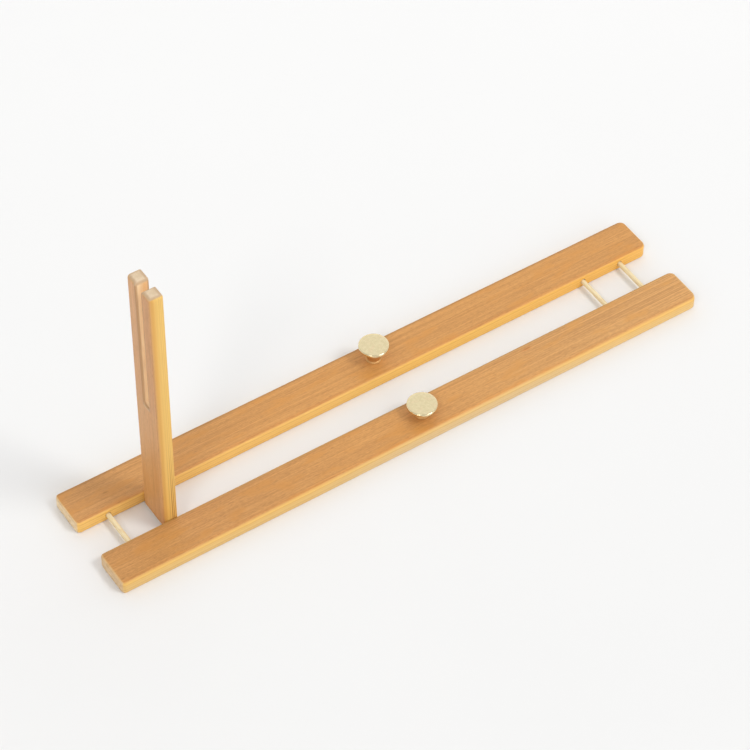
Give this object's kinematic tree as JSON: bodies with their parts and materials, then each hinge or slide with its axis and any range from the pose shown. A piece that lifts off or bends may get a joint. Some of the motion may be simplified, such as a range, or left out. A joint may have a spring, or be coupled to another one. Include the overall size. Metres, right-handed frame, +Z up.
{
  "type": "folding bamboo display easel",
  "caption": "Small folding bamboo display easel: parallel slats joined by thin dowels, a slotted leg that swings up between them, and brass mushroom pegs.",
  "frame": {"origin": "centre of the bounding box's footprint, on the surface the slats rest on, with the leg standing square to the slats", "axes": "+X along the slats from the hinge end to the far end, -Y towards the front slat, +Z up from the slats' underside"},
  "size_m": [0.24, 0.0462, 0.1144],
  "materials": {
    "slat_bamboo": "thin clear satin lacquer on carbonised bamboo",
    "leg_bamboo": "thin clear satin lacquer on carbonised bamboo, sawn ends left paler",
    "dowel_wood": "bare pale bamboo stick",
    "peg_brass": "turned and lightly polished"
  },
  "bodies": {
    "frame": {"back_slat": "slat_bamboo", "front_slat": "slat_bamboo", "hinge_dowel": "dowel_wood", "stop_dowel": "dowel_wood", "inner_spacer_dowel": "dowel_wood", "outer_spacer_dowel": "dowel_wood", "back_peg": "peg_brass", "front_peg": "peg_brass"},
    "leg": {"leg": "leg_bamboo"}
  },
  "joints": [
    {"name": "leg_hinge", "type": "hinge", "parent": "frame", "child": "leg", "pos_m": [-0.0918, 0, 0.0026], "axis": [0, 1, 0], "range_deg": [-77, 90]}
  ]
}
